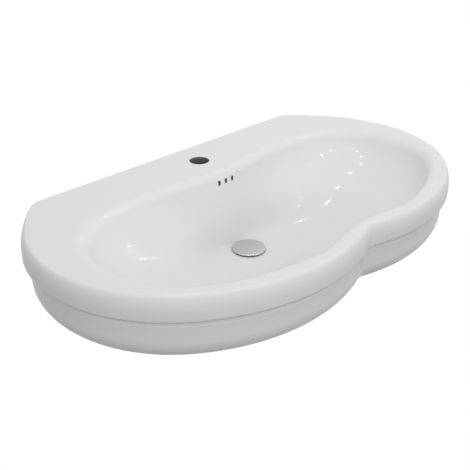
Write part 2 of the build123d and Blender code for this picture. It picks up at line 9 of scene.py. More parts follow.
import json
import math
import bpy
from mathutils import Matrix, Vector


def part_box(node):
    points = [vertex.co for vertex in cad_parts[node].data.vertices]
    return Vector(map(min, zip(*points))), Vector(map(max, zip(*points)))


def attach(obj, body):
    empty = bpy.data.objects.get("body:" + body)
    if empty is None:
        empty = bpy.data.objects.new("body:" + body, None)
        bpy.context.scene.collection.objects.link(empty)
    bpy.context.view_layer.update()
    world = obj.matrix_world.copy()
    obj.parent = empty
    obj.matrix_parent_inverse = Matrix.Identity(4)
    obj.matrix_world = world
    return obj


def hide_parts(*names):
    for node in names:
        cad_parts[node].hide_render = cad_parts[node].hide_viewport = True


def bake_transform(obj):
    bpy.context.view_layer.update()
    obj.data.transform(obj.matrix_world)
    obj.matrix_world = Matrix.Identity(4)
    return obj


bl_info = {
    "name": "Lobed washbasin",
    "version": (1, 0, 0),
    "blender": (4, 5, 0),
    "location": "View3D > Sidebar > Washbasin",
    "description": "Models and finishes a double-lobed washbasin and its waste",
    "category": "Object",
}

import bmesh
import bpy
import numpy as np
from bpy.props import FloatProperty, IntProperty, PointerProperty, StringProperty
from mathutils import Euler, Vector
from mathutils.bvhtree import BVHTree

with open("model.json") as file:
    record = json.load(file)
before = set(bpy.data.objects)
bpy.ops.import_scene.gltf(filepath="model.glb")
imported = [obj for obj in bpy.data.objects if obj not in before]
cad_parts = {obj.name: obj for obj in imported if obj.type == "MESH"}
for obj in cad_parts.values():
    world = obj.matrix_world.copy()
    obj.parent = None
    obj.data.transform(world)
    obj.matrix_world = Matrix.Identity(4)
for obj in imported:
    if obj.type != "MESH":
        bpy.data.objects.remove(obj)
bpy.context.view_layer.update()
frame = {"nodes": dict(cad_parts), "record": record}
MM = 0.001
FIXED_BODY = "basin_and_waste"
PLUG_BODY = "plug"

# ---- levels and places that the frame gives ----
BASIN_LOW, BASIN_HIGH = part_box("basin")
SEAT_LOW, SEAT_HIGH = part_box("flange_seal")
BODY_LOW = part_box("waste_body")[0]
CAP_LOW, CAP_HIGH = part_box("cap")
LIP_LOW, LIP_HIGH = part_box("cap_seal")
SPRING_LOW, SPRING_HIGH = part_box("cartridge_spring")
THREAD_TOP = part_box("lock_nut")[1].z
RIM_Z = BASIN_HIGH.z
WASTE_Y = (SEAT_LOW.y + SEAT_HIGH.y) / 2


# ---- what a user may change ----
def length(name, description, default):
    """A size property in metres."""
    return FloatProperty(name=name, description=description, default=default, unit="LENGTH")


def number(name, description, default):
    """A plain number's property, whole if its default is."""
    kind = IntProperty if isinstance(default, int) else FloatProperty
    return kind(name=name, description=description, default=default)


def colour(name, description, default):
    """A colour property, as an sRGB hex value."""
    return StringProperty(name=name, description=description, default=default)


class ChinaSizes(bpy.types.PropertyGroup):
    """The casting's plan, its side profile and its bowl."""

    front_radius: length("Front arc", "Radius of a lobe's front", 0.340)
    side_radius: length("Side arc", "Radius of a lobe's side", 0.250)
    back_radius: length("Back arc", "Radius from the side to the wall", 0.415)
    lobe_spread: length("Lobe spread", "From the front arc's centre to the side arc's, along X", 0.058)
    cusp_radius: length("Valley", "Radius of the valley between the lobes", 0.030)
    corner_radius: length("Back corner", "Radius of the deck's back corners", 0.042)
    foot_corner: length("Foot corner", "Radius of the foot's back corners", 0.014)
    rim_edge: length("Rim edge", "How far the rim's rounding reaches in at the front and sides", 0.011)
    rim_fall: length("Rim fall", "How far the rim's rounding reaches down there", 0.028)
    back_edge: length("Back edge", "Rounding of the deck's back edge", 0.004)
    band_height: length("Band", "Height of the band under the rim", 0.0437)
    band_taper: length("Band taper", "How far the band draws in towards its foot", 0.0038)
    band_upright: length("Band upright", "Height of the band's upright part", 0.008)
    band_step: length("Band step", "How far the lower body lies inside the rim", 0.009)
    flank_height: length("Flank", "Height of the upright flank under the band", 0.0347)
    turn_width: length("Turn width", "How far the body draws in under the flank", 0.080)
    turn_height: length("Turn height", "Height of the turn under the flank", 0.050)
    turn_nose: length("Turn nose", "Radius of the turn's upper arc", 0.038)
    side_ledge: length("Side ledge", "Deck width beside the bowl", 0.073)
    back_ledge: length("Back ledge", "Deck width behind the bowl's lobes", 0.110)
    front_ledge: length("Front ledge", "Deck width in front of the bowl's lobes", 0.031)
    back_reach: length("Back reach", "From the bowl's widest line to its back", 0.154)
    back_waist: length("Back waist", "How far the bowl's back draws in at the middle", 0.029)
    front_waist: length("Front waist", "How far the bowl's front draws in at the middle", 0.027)
    bowl_edge: length("Bowl edge", "Rounding of the bowl's edge", 0.017)
    bowl_wall: length("Bowl wall", "Thickness of the bowl's wall", 0.011)
    lobe_depth: length("Lobe depth", "Depth of the lobes' floor under the rim", 0.106)
    well_depth: length("Well depth", "Depth of the well under the lobes' floor", 0.0375)
    deck_thickness: length("Deck", "Thickness of the deck at the tap hole", 0.014)
    tap_hole: length("Tap hole", "Radius of the tap hole", 0.018)
    tap_hole_edge: length("Tap hole edge", "Rounding of the tap hole", 0.0015)
    tap_hole_back: length("Tap hole place", "From the wall to the tap hole's centre", 0.067)
    overflow_drop: length("Overflow drop", "From the rim to the overflow holes' centres", 0.0205)
    overflow_height: length("Overflow height", "Height of an overflow hole", 0.0085)
    overflow_width: length("Overflow width", "Width of an overflow hole", 0.0046)
    overflow_pitch: length("Overflow pitch", "From one overflow hole to the next", 0.017)
    outlet_hole: length("Outlet hole", "Radius of the hole through the boss", 0.023)
    boss_radius: length("Boss", "Radius of the boss round the outlet", 0.038)
    fixing_spacing: length("Fixings", "Distance between the wall bolts", 0.280)
    fixing_hole: length("Fixing hole", "Radius of a wall bolt's hole", 0.008)
    opening_width: length("Rear opening", "Width of the rear cavity's mouth", 0.380)
    opening_depth: length("Rear opening depth", "Depth of the rear cavity's mouth", 0.066)
    back_wall: length("Back wall", "From the wall to the rear cavity's mouth", 0.021)


class WasteSizes(bpy.types.PropertyGroup):
    """The waste fitting's visible metal."""

    cap_edge: length("Cap edge", "Thickness of the cap at its rim", 0.0026)
    cap_crown: length("Cap crown", "Rise of the cap's dome", 0.0011)
    cap_rounding: length("Cap rounding", "Rounding of the cap's rim", 0.0011)
    plug_radius: length("Plug", "Radius of the plug under the cap", 0.015)
    plug_wall: length("Plug wall", "Thickness of the plug's wall", 0.002)
    plug_lip: length("Plug lip", "How far the plug's foot stands out", 0.0014)
    plug_lip_height: length("Plug lip height", "Height of the plug's foot lip", 0.0012)
    stud_radius: length("Stud", "Radius of the stud that the cap is screwed to", 0.003)
    stud_length: length("Stud length", "Depth of the stud's hole in the cap", 0.008)
    stud_boss_wall: length("Stud boss", "Wall of the boss round the stud", 0.0025)
    barrel_radius: length("Barrel", "Outer radius of the threaded barrel", 0.0208)
    thread_pitch: length("Thread pitch", "Pitch of the barrel's pipe thread", 0.0023)
    thread_depth: length("Thread depth", "Depth of the barrel's pipe thread", 0.0011)
    spring_radius: length("Spring radius", "Outside of the cartridge's spring", 0.0042)
    spring_wire: length("Spring wire", "Thickness of the spring's wire", 0.001)
    spring_turns: number("Spring turns", "Turns of the spring's wire", 5.5)


class Finishes(bpy.types.PropertyGroup):
    """Colours as sRGB hex values."""

    china: colour("China", "Glazed vitreous china", "#F0F0F0")
    china_pooled: colour("China, pooled", "Thicker glaze", "#EEEEED")
    # painted shade: the bare body's two greys darken the insides of the openings, where shade falls
    china_bare_painted_shade: colour("China, unglazed", "Bare body inside the openings", "#7C7B79")
    china_bare_deeper_painted_shade: colour("China, bare, deeper painted shade", "Bare body, deeper painted shade", "#6F6E6B")
    chrome: colour("Chrome", "Chromium plate", "#D9DADC")
    brass: colour("Brass", "Turned brass", "#C9A35A")
    brass_dark: colour("Brass, tarnished", "Dulled brass", "#9A7638")
    rubber: colour("Rubber", "Moulded black rubber", "#232324")
    bloom: colour("Rubber bloom", "Bloom on the rubber", "#333334")
    nylon: colour("Nylon", "Moulded natural nylon", "#DAD7CC")
    nylon_deep: colour("Nylon, deep", "Thicker nylon", "#CFCBBC")
    steel: colour("Spring steel", "Drawn steel wire", "#A9ABAE")
    steel_dark: colour("Steel, lines", "Lines on the wire", "#8B8D90")
    floor: colour("Floor", "Paint, as it takes the lamps' light", "#484848")
    floor_shade: colour("Floor, shade", "Brushed paint", "#464646")


class Studio(bpy.types.PropertyGroup):
    """The light, the floor and the camera."""

    rim_height: length("Rim height", "Height of the rim over the floor", 0.85)
    softbox_power: number("Softbox", "Power of the large soft light", 12.0)
    lamp_power: number("Lamps", "Power of one small ceiling lamp", 0.6)
    ambient: number("Ambient", "Level of the surroundings", 0.575)
    ring_lamps: number("Ring lamps", "Small lamps in the ceiling ring", 14)
    row_lamps: number("Row lamps", "Small lamps along the right", 5)
    back_lamp_power: number("Back lamps' power", "Power of one back lamp", 0.08)
    back_lamps: number("Back lamps", "Small lamps at the back right", 4)


# ---- materials ----
def linear(code):
    """An sRGB hex value as a linear colour."""
    channels = [int(code[i : i + 2], 16) / 255 for i in (1, 3, 5)]
    return [c / 12.92 if c <= 0.04045 else ((c + 0.055) / 1.055) ** 2.4 for c in channels] + [1.0]


def features(where, size_mm, detail):
    """A pattern's place, its detail and the scale at which its features are size_mm across."""
    return {"Vector": where, "Scale": 1 / (size_mm * MM), "Detail": detail}


def add(tree, kind, sockets=None, **settings):
    """Adds a shader node with its settings. A socket takes a value, a socket or a node's output."""
    node = tree.nodes.new("ShaderNode" + kind)
    for name, value in settings.items():
        setattr(node, name, value)
    for name, value in (sockets or {}).items():
        if isinstance(value, bpy.types.Node):
            value = next(output for output in value.outputs if output.enabled)
        if isinstance(value, bpy.types.NodeSocket):
            tree.links.new(value, node.inputs[name])
        else:
            node.inputs[name].default_value = value
    return node


def glazed_china(tree, here, look):
    """Vitreous china, slip-cast and dipped: a dense white body under a clear fired glaze.

    The glaze gives sharp lamp reflections that waver a little, because it levels out over
    centimetres before it sets, and it is a touch warmer where it lies thicker.
    """
    pooled = add(tree, "TexNoise", features(here, 90, 2.0))
    tint = add(
        tree, "Mix", {0: pooled, 6: linear(look.china), 7: linear(look.china_pooled)}, data_type="RGBA"
    )
    level = add(tree, "TexNoise", features(here, 24, 1.0))
    waver = add(tree, "Bump", {"Height": level, "Distance": 0.12 * MM})
    return add(tree, "BsdfPrincipled", {
        "Base Color": tint, "Roughness": 0.5, "IOR": 1.5, "Specular IOR Level": 0.0,
        "Coat Weight": 0.4, "Coat Roughness": 0.08, "Coat IOR": 1.5, "Coat Normal": waver,
    })


def unglazed_china_painted_shade(tree, here, look):
    """The same body where the glaze was wiped off before firing: matt and grainy, in a mottled grey that is
    painted shade for the insides of the openings.
    """
    # painted shade: two mottled greys for the dark insides of the openings
    shade_mottle = add(tree, "TexNoise", features(here, 11, 3.0))
    tint = add(
        tree, "Mix", {0: shade_mottle, 6: linear(look.china_bare_painted_shade), 7: linear(look.china_bare_deeper_painted_shade)}, data_type="RGBA"
    )
    # the body's grain is 0.05 mm, and is drawn at 0.4 mm, as fine as shows
    grains = add(tree, "TexNoise", features(here, 0.4, 2.0))
    relief = add(tree, "Bump", {"Height": grains, "Distance": 0.03 * MM})
    return add(tree, "BsdfPrincipled", {"Base Color": tint, "IOR": 1.5, "Roughness": 0.85, "Normal": relief})


def chromium_plate(tree, here, look):
    """Brass polished and plated with bright chromium: mirror-like, with faint wiping marks."""
    along = add(tree, "Mapping", {"Vector": here, "Scale": (1.0, 0.12, 1.0)})
    marks = add(tree, "TexNoise", features(along, 0.8, 3.0))
    wiped = add(tree, "MapRange", {"Value": marks, "To Min": 0.05, "To Max": 0.13})
    buffed = add(tree, "TexNoise", features(here, 7, 1.0))
    waver = add(tree, "Bump", {"Height": buffed, "Distance": 0.006 * MM})
    return add(tree, "BsdfPrincipled", {
        "Base Color": linear(look.chrome), "Metallic": 1.0, "Roughness": wiped, "Normal": waver,
    })


def turned_brass(tree, here, look):
    """Free-cutting brass turned on a lathe and left bare: fine rings, and dulled in patches."""
    dulled = add(tree, "TexNoise", features(here, 9, 4.0))
    tint = add(tree, "Mix", {0: dulled, 6: linear(look.brass), 7: linear(look.brass_dark)}, data_type="RGBA")
    # turned rings are 0.1 mm apart, and are drawn at 0.5 mm, as fine as shows
    flat = add(tree, "Mapping", {"Vector": here, "Scale": (0.02, 0.02, 1.0)})
    rings = add(tree, "TexNoise", features(flat, 0.5, 1.0))
    cut_marks = add(tree, "MapRange", {"Value": rings, "To Min": 0.22, "To Max": 0.4})
    grooves = add(tree, "Bump", {"Height": rings, "Distance": 0.02 * MM})
    return add(tree, "BsdfPrincipled", {
        "Base Color": tint, "Metallic": 1.0, "Roughness": cut_marks, "Normal": grooves,
    })


def moulded_rubber(tree, here, look):
    """Black sealing rubber from a blasted mould: matt, with a faint bloom and a fine grain."""
    bloom = add(tree, "TexNoise", features(here, 6, 3.0))
    tint = add(tree, "Mix", {0: bloom, 6: linear(look.rubber), 7: linear(look.bloom)}, data_type="RGBA")
    worn = add(tree, "MapRange", {"Value": bloom, "To Min": 0.55, "To Max": 0.75})
    blasted = add(tree, "TexNoise", features(here, 0.5, 4.0))
    grain = add(tree, "Bump", {"Height": blasted, "Distance": 0.03 * MM})
    return add(tree, "BsdfPrincipled", {"Base Color": tint, "IOR": 1.52, "Roughness": worn, "Normal": grain})


def moulded_nylon(tree, here, look):
    """Natural nylon from a polished mould: waxy, slightly see-through and yellowish."""
    flow = add(tree, "TexNoise", features(here, 12, 2.0))
    tint = add(tree, "Mix", {0: flow, 6: linear(look.nylon), 7: linear(look.nylon_deep)}, data_type="RGBA")
    waxy = add(tree, "MapRange", {"Value": flow, "To Min": 0.34, "To Max": 0.48})
    skin = add(tree, "TexNoise", features(here, 1.5, 2.0))
    relief = add(tree, "Bump", {"Height": skin, "Distance": 0.02 * MM})
    return add(tree, "BsdfPrincipled", {
        "Base Color": tint, "IOR": 1.53, "Roughness": waxy, "Normal": relief,
        "Subsurface Weight": 0.15, "Subsurface Scale": 2 * MM,
    })


def drawn_steel(tree, here, look):
    """Spring steel drawn through a die: bright, with fine lines along the wire."""
    lines = add(tree, "TexNoise", features(here, 0.6, 3.0))
    tint = add(tree, "Mix", {0: lines, 6: linear(look.steel), 7: linear(look.steel_dark)}, data_type="RGBA")
    drawn = add(tree, "MapRange", {"Value": lines, "To Min": 0.2, "To Max": 0.34})
    return add(tree, "BsdfPrincipled", {"Base Color": tint, "Metallic": 1.0, "Roughness": drawn})


def seen_ray(tree):
    """1 for rays from the camera, in reflections and through glass, and 0 for those that light."""
    path = add(tree, "LightPath")
    seen = path.outputs["Is Camera Ray"]
    for name in ("Is Glossy Ray", "Is Transmission Ray"):
        seen = add(tree, "Math", {0: seen, 1: path.outputs[name]}, operation="MAXIMUM").outputs[0]
    return seen


def painted_floor(tree, here, look):
    """Painted board: matt, and white to the camera, the metal and the glaze.

    To the rays that light, the paint is grey, so it throws little light up at the basin.
    """
    brushed = add(tree, "TexNoise", features(here, 400, 2.0))
    tint = add(
        tree, "Mix", {0: brushed, 6: linear(look.floor), 7: linear(look.floor_shade)}, data_type="RGBA"
    )
    board = add(tree, "BsdfPrincipled", {"Base Color": tint, "Roughness": 0.9})
    lift = add(tree, "Math", {0: seen_ray(tree), 1: FLOOR_GLOW}, operation="MULTIPLY")
    glow = add(tree, "Emission", {"Color": linear("#FFFFFF"), "Strength": lift})
    return add(tree, "AddShader", {0: board, 1: glow})


FLOOR_GLOW = 0.94  # what the floor shows the camera on top of the light it takes
SLOT_FINISH = {
    "glazed_china": ("Glazed vitreous china", glazed_china),
    # the bare china's grey is painted shade for the openings' insides
    "bare_china": ("Unglazed vitreous china, painted shade", unglazed_china_painted_shade),
    "chromed_brass": ("Chromium-plated brass", chromium_plate),
    "plain_brass": ("Turned brass", turned_brass),
    "black_rubber": ("Moulded rubber", moulded_rubber),
    "white_nylon": ("Moulded nylon", moulded_nylon),
    "spring_steel": ("Drawn spring steel", drawn_steel),
    "floor": ("Painted floor", painted_floor),
}
finishes_made = {}


def finish_for(slot, look):
    """The material of a slot, or of another finish here, made the first time it is asked for.

    Its recipe gets the node tree and each point's place in metres, and gives back the surface.
    """
    if slot not in finishes_made:
        name, recipe = SLOT_FINISH[slot]
        made = bpy.data.materials.new(name)
        made.use_nodes = True
        tree = made.node_tree
        tree.nodes.clear()
        surface = recipe(tree, add(tree, "TexCoord").outputs["Object"], look)
        add(tree, "OutputMaterial", {"Surface": surface})
        finishes_made[slot] = made
    return finishes_made[slot]


# ---- the basin's plan ----
# Intervals of the right half's outline: valley, front, side, back, corner and half the wall line.
COLUMNS = (8, 64, 64, 14, 12, 44)
SIDE_TO_BACK = math.radians(32.5)  # direction from +X in which the side arc meets the back arc
WALL_BUNCHING = 1.5  # how far the wall line's columns are bunched towards the middle
RIGHT_ANGLE = math.pi / 2


def arc(centre, radius, first, last, steps):
    """Points of an arc, without its last one."""
    angles = first + (last - first) * np.arange(steps) / steps
    return np.column_stack([centre[0] + radius * np.cos(angles), centre[1] + radius * np.sin(angles)])


def circle(radius, steps):
    """Points once round a circle."""
    return arc((0, 0), radius, 0, 2 * math.pi, steps)


def both_halves(half):
    """The right half, from the middle of the front to the middle of the back, with its mirror image."""
    return np.concatenate([half, half[-2:0:-1] * [-1, 1]])


def outline(sizes, inset, back_y, corner):
    """One closed level of the casting's side, drawn in from its widest plan."""
    depth = -BASIN_LOW.y
    side_x = BASIN_HIGH.x - sizes.side_radius
    front = np.array([side_x - sizes.lobe_spread, sizes.front_radius - depth])
    step = sizes.front_radius - sizes.side_radius
    side = np.array([side_x, front[1] - math.sqrt(step**2 - sizes.lobe_spread**2)])
    turn = np.array([math.cos(SIDE_TO_BACK), math.sin(SIDE_TO_BACK)])
    back = side - (sizes.back_radius - sizes.side_radius) * turn
    reach = sizes.front_radius + sizes.cusp_radius
    valley = (0.0, front[1] - math.sqrt(reach**2 - front[0] ** 2))
    half_valley = math.asin(front[0] / reach)
    front_end = math.atan2(side[1] - front[1], side[0] - front[0])
    knee_y = -back_y - corner
    knee_x = back[0] + math.sqrt((sizes.back_radius - inset - corner) ** 2 - (knee_y - back[1]) ** 2)
    back_end = math.atan2(knee_y - back[1], knee_x - back[0])
    wall_x = knee_x * (1 - np.arange(COLUMNS[5] + 1) / COLUMNS[5]) ** WALL_BUNCHING
    half = [
        arc(valley, sizes.cusp_radius + inset, RIGHT_ANGLE, RIGHT_ANGLE - half_valley, COLUMNS[0]),
        arc(front, sizes.front_radius - inset, -RIGHT_ANGLE - half_valley, front_end, COLUMNS[1]),
        arc(side, sizes.side_radius - inset, front_end, SIDE_TO_BACK, COLUMNS[2]),
        arc(back, sizes.back_radius - inset, SIDE_TO_BACK, back_end, COLUMNS[3]),
        arc((knee_x, knee_y), corner, back_end, RIGHT_ANGLE, COLUMNS[4]),
        np.column_stack([wall_x, np.full(len(wall_x), -back_y)]),
    ]
    return both_halves(np.concatenate(half))


def wall_share():
    """For each column, 0 at the front and sides and 1 on the wall line, eased over the corner."""
    along = np.clip((np.arange(sum(COLUMNS) + 1) - sum(COLUMNS[:4])) / COLUMNS[4], 0, 1)
    eased = along * along * (3 - 2 * along)
    return np.concatenate([eased, eased[-2:0:-1]])


def at_height(plan, height):
    """A closed level as points in space. The height is one number or one for each column."""
    return np.column_stack([plan, np.broadcast_to(height, len(plan))])


def ringed(ring, profile):
    """Levels about the outlet's axis: a ring of radius 1 grown to each (radius, height) of a profile."""
    return [at_height([0, WASTE_Y] + ring * radius, height) for radius, height in profile]


def rounded_corner(centre, radius, first, last, steps=6):
    """Points of a rounding, with both ends; angles in degrees."""
    angles = np.radians(np.linspace(first, last, steps + 1))
    return [(centre[0] + radius * math.cos(a), centre[1] + radius * math.sin(a)) for a in angles]


def about(corner, *offsets):
    """Points of a profile at offsets in millimetres from one of its corners."""
    return [(corner[0] + out * MM, corner[1] + up * MM) for out, up in offsets]


# ---- the casting's side, from the deck's edge down to the foot ----
RIM_ROWS = 10
BAND_ROWS = 12
TURN_ROWS = 12
FLANK_ROWS = 5
# The band's foot in mm, as (inset past the band's taper, height over its foot): it rounds under into
# a narrow groove, and the flank starts below that with a small rounding of its own.
BAND_FOOT = (
    (0.0, 2.6), (0.3, 1.5), (0.9, 0.8), (1.8, 0.5), (3.2, 0.4), (5.2, 0.3), (7.2, 0.1), (8.4, -0.6),
    (8.9, -2.3), (8.7, -4.2), (8.0, -5.3), (7.1, -5.9), (6.2, -6.3), (5.5, -7.0), (5.2, -8.0), (5.2, -9.6),
)


def rim_levels(sizes):
    """The rounded rim: a long elliptical rounding at the front and sides, and a small one at the wall."""
    share = wall_share()
    levels = []
    for row in range(RIM_ROWS + 1):
        angle = RIGHT_ANGLE * row / RIM_ROWS
        drawn_in = 1 - math.sin(angle)
        inset = sizes.rim_edge * drawn_in
        plan = outline(sizes, inset, sizes.back_edge * drawn_in, sizes.corner_radius - inset)
        drop = (1 - math.cos(angle)) * (sizes.rim_fall * (1 - share) + sizes.back_edge * share)
        levels.append(at_height(plan, RIM_Z - drop))
    return levels


def band_levels(sizes):
    """The band: upright at its top, then drawn in on one arc. Its wall side starts higher and catches up."""
    share = wall_share()
    reach = sizes.band_height - sizes.rim_fall - BAND_FOOT[0][1] * MM
    swept = reach - sizes.band_upright
    sweep_radius = (sizes.band_taper**2 + swept**2) / (2 * sizes.band_taper)
    levels = []
    for step in range(1, BAND_ROWS + 1):
        fall = reach * step / BAND_ROWS
        inset = sweep_radius - math.sqrt(sweep_radius**2 - max(0, fall - sizes.band_upright) ** 2)
        lift = share * (sizes.rim_fall - sizes.back_edge) * (1 - step / BAND_ROWS)
        plan = outline(sizes, inset, 0, sizes.corner_radius - inset)
        levels.append(at_height(plan, RIM_Z - sizes.rim_fall - fall + lift))
    return levels


def turn_profile(sizes):
    """The flank's turn to the flat foot, as (inset, height) along its two arcs."""
    turn_z = RIM_Z - sizes.band_height - sizes.flank_height
    nose = sizes.turn_nose
    wide = (sizes.turn_width - nose) ** 2 + sizes.turn_height**2 - nose**2
    wide /= 2 * (sizes.turn_height - nose)
    upper = (sizes.band_step + nose, turn_z)
    lower = (sizes.band_step + sizes.turn_width, turn_z - sizes.turn_height + wide)
    slope = math.atan2(upper[1] - lower[1], upper[0] - lower[0])
    points = np.concatenate([
        arc(upper, nose, -math.pi, slope, TURN_ROWS), arc(lower, wide, slope, -RIGHT_ANGLE, TURN_ROWS)
    ])
    return points.tolist() + [(lower[0], lower[1] - wide)]


def side_levels(sizes):
    """Everything from the deck's edge to the flat foot."""
    band_foot_z = RIM_Z - sizes.band_height
    profile = [(sizes.band_taper + inset * MM, band_foot_z + height * MM) for inset, height in BAND_FOOT[1:]]
    flank_top = profile[-1][1]
    turn = turn_profile(sizes)
    for step in range(1, FLANK_ROWS):
        profile.append((sizes.band_step, flank_top + (turn[0][1] - flank_top) * step / FLANK_ROWS))
    levels = rim_levels(sizes) + band_levels(sizes)
    for inset, height in profile + turn:
        tighter = (inset - sizes.band_step) / sizes.turn_width
        tighter *= sizes.corner_radius - sizes.band_step - sizes.foot_corner
        plan = outline(sizes, inset, 0, sizes.corner_radius - sizes.band_step - tighter)
        levels.append(at_height(plan, height))
    return levels


# ---- the bowl ----
BOWL_STATIONS = 40  # points that fix one level of the bowl
BACK_SQUARENESS = 3.2
FRONT_SQUARENESS = 2.4
BACK_WAIST_SPREAD = 0.138
FRONT_WAIST_SPREAD = 0.064
WAIST_EASE = 3  # how steeply the waists set in from the bowl's widest line
WELL_SHARE = 0.70  # where the well starts
WELL_POWER = 1.25
DISH_POWER = 2.05
MIDDLE_LEAN = 0.55  # how far the middle of a level leans to the bowl's widest line
MIDDLE_LEAN_SPREAD = 0.110
NORMAL_STEP = 0.02  # radians each side of a station from which its normal is taken
PLACES_TRIED = 200  # between two stations, to match the columns by direction
SHARES_TRIED = 4000  # from the outlet to the edge, to space the rows evenly
EDGE_START = 0.87  # depth at which the edge's rounding starts, as a share of its radius
BOWL_ROWS = 64
BOWL_EDGE_ROWS = 9
CASING_SHARES = (0.34, 0.29, 0.24, 0.19, 0.14, 0.1, 0.06, 0.03, 0.0)
FOOT_SHARES = (0.2, 0.5, 0.8, 0.95)
DECK_SHARES = (0.03, 0.12, 0.3, 0.5, 0.7, 0.88, 0.97)
OUTLET_RADIUS = 0.034
SEAT_PLAY = 1 * MM


def bowl_point(sizes, share, angle):
    """Points of a level of the bowl, from its lobed edge (share 1) to the round outlet (share 0)."""
    cosine = np.cos(angle)
    sine = np.sin(angle)
    at_back = sine >= 0
    middle_y = -sizes.back_ledge - sizes.back_reach
    front_reach = -BASIN_LOW.y - sizes.front_ledge + middle_y
    power = 2 / np.where(at_back, BACK_SQUARENESS, FRONT_SQUARENESS)
    edge_x = (BASIN_HIGH.x - sizes.side_ledge) * np.sign(cosine) * np.abs(cosine) ** power
    edge_y = np.where(at_back, sizes.back_reach, -front_reach) * np.abs(sine) ** power
    waist = np.where(at_back, sizes.back_waist, -sizes.front_waist) * np.minimum(1, np.abs(sine) * WAIST_EASE)
    edge_y -= waist * np.exp(-((edge_x / np.where(at_back, BACK_WAIST_SPREAD, FRONT_WAIST_SPREAD)) ** 2))
    ring_x = OUTLET_RADIUS * cosine
    ring_y = WASTE_Y + OUTLET_RADIUS * sine
    x = ring_x + share * (edge_x - ring_x)
    y = ring_y + share * (middle_y + edge_y - ring_y)
    lean = 4 * share * (1 - share) * MIDDLE_LEAN * (middle_y - WASTE_Y)
    return np.column_stack([x, y + lean * (1 - np.exp(-((x / MIDDLE_LEAN_SPREAD) ** 2)))])


def bowl_depth(sizes, share):
    """Depth under the rim of the level at this share."""
    dish = sizes.lobe_depth * (1 - share**DISH_POWER) ** (1 / DISH_POWER)
    well = sizes.well_depth * 0.5 * (1 + np.cos(math.pi * np.minimum(share / WELL_SHARE, 1) ** WELL_POWER))
    return dish + np.where(share < WELL_SHARE, well, 0)


def closed_spline(stations, place):
    """Points of the smooth closed curve through the stations. Place 2.5 is halfway from 2 to 3."""
    after = np.roll(stations, -1, axis=0)
    span = np.linalg.norm(after - stations, axis=1)[:, None]
    before_span = np.roll(span, 1, axis=0)
    slope = (after - stations) / span
    count = len(stations)
    system = np.diag(2 * (span + before_span)[:, 0])
    for row in range(count):
        system[row, (row + 1) % count] += span[row, 0]
        system[row, row - 1] += before_span[row, 0]
    bend = np.linalg.solve(system, 6 * (slope - np.roll(slope, 1, axis=0)))
    index = np.floor(place).astype(int) % count
    onward = (index + 1) % count
    right = (place - np.floor(place))[:, None]
    left = 1 - right
    curved = (left**3 - left) * bend[index] + (right**3 - right) * bend[onward]
    return left * stations[index] + right * stations[onward] + curved * span[index] ** 2 / 6


def bowl_level(sizes, share, place, wall=0.0):
    """One level of the bowl for the columns, moved out along its normals by a wall."""
    angles = 2 * math.pi * (np.arange(BOWL_STATIONS) + 0.5) / BOWL_STATIONS
    stations = bowl_point(sizes, share, angles)
    along = bowl_point(sizes, share, angles + NORMAL_STEP) - bowl_point(sizes, share, angles - NORMAL_STEP)
    outward = np.column_stack([along[:, 1], -along[:, 0]])
    stations = stations + wall * outward / np.linalg.norm(outward, axis=1)[:, None]
    height = RIM_Z - bowl_depth(sizes, share) - wall * math.sqrt(1 - share)
    return at_height(closed_spline(stations, place), height)


def column_places(sizes):
    """Where on the bowl's edge each column of the outline starts, matched by direction."""
    middle = np.array([0.0, -sizes.back_ledge - sizes.back_reach])
    place = np.arange(BOWL_STATIONS * PLACES_TRIED) / PLACES_TRIED
    edge = bowl_level(sizes, 1.0, place)[:, :2] - middle
    edge_turn = np.unwrap(np.arctan2(edge[:, 1], edge[:, 0]))
    rim = outline(sizes, sizes.rim_edge, sizes.back_edge, sizes.corner_radius - sizes.rim_edge) - middle
    rim_turn = np.arctan2(rim[:, 1], rim[:, 0])
    turns = np.concatenate([edge_turn - 2 * math.pi, edge_turn, edge_turn + 2 * math.pi])
    places = np.concatenate([place - BOWL_STATIONS, place, place + BOWL_STATIONS])
    return np.interp(rim_turn, turns, places) % BOWL_STATIONS


def bowl_levels(sizes, place):
    """The bowl from its round outlet up to where the edge's rounding starts, at even spacing."""
    start = EDGE_START * sizes.bowl_edge
    top = (1 - (start / sizes.lobe_depth) ** DISH_POWER) ** (1 / DISH_POWER)
    fine = top * (1 - (1 - np.linspace(0, 1, SHARES_TRIED)) ** 3)
    run = np.hypot(np.diff(fine) * BASIN_HIGH.x, np.diff(bowl_depth(sizes, fine)))
    run = np.concatenate([[0], np.cumsum(run)])
    shares = np.interp(np.linspace(0, run[-1], BOWL_ROWS + 1), run, fine)
    return [bowl_level(sizes, share, place) for share in shares]


def bowl_edge_levels(wall):
    """The rounding from the bowl's wall to the deck, tangent to both in every column."""
    top = wall[-1]
    climb = top - wall[-2]
    climb /= np.linalg.norm(climb, axis=1)[:, None]
    corner = top + climb * ((RIM_Z - top[:, 2]) / climb[:, 2])[:, None]
    along = np.roll(top, -1, axis=0) - np.roll(top, 1, axis=0)
    outward = np.column_stack([along[:, 1], -along[:, 0], np.zeros(len(top))])
    outward /= np.linalg.norm(outward, axis=1)[:, None]
    deck = corner + outward * np.linalg.norm(corner - top, axis=1)[:, None]
    weight = np.sqrt((1 + (climb * outward).sum(axis=1)) / 2)[:, None]
    levels = []
    for step in range(1, BOWL_EDGE_ROWS + 1):
        t = step / BOWL_EDGE_ROWS
        pull = 2 * t * (1 - t) * weight
        whole = (1 - t) ** 2 + pull + t**2
        levels.append(((1 - t) ** 2 * top + pull * corner + t**2 * deck) / whole)
    return levels


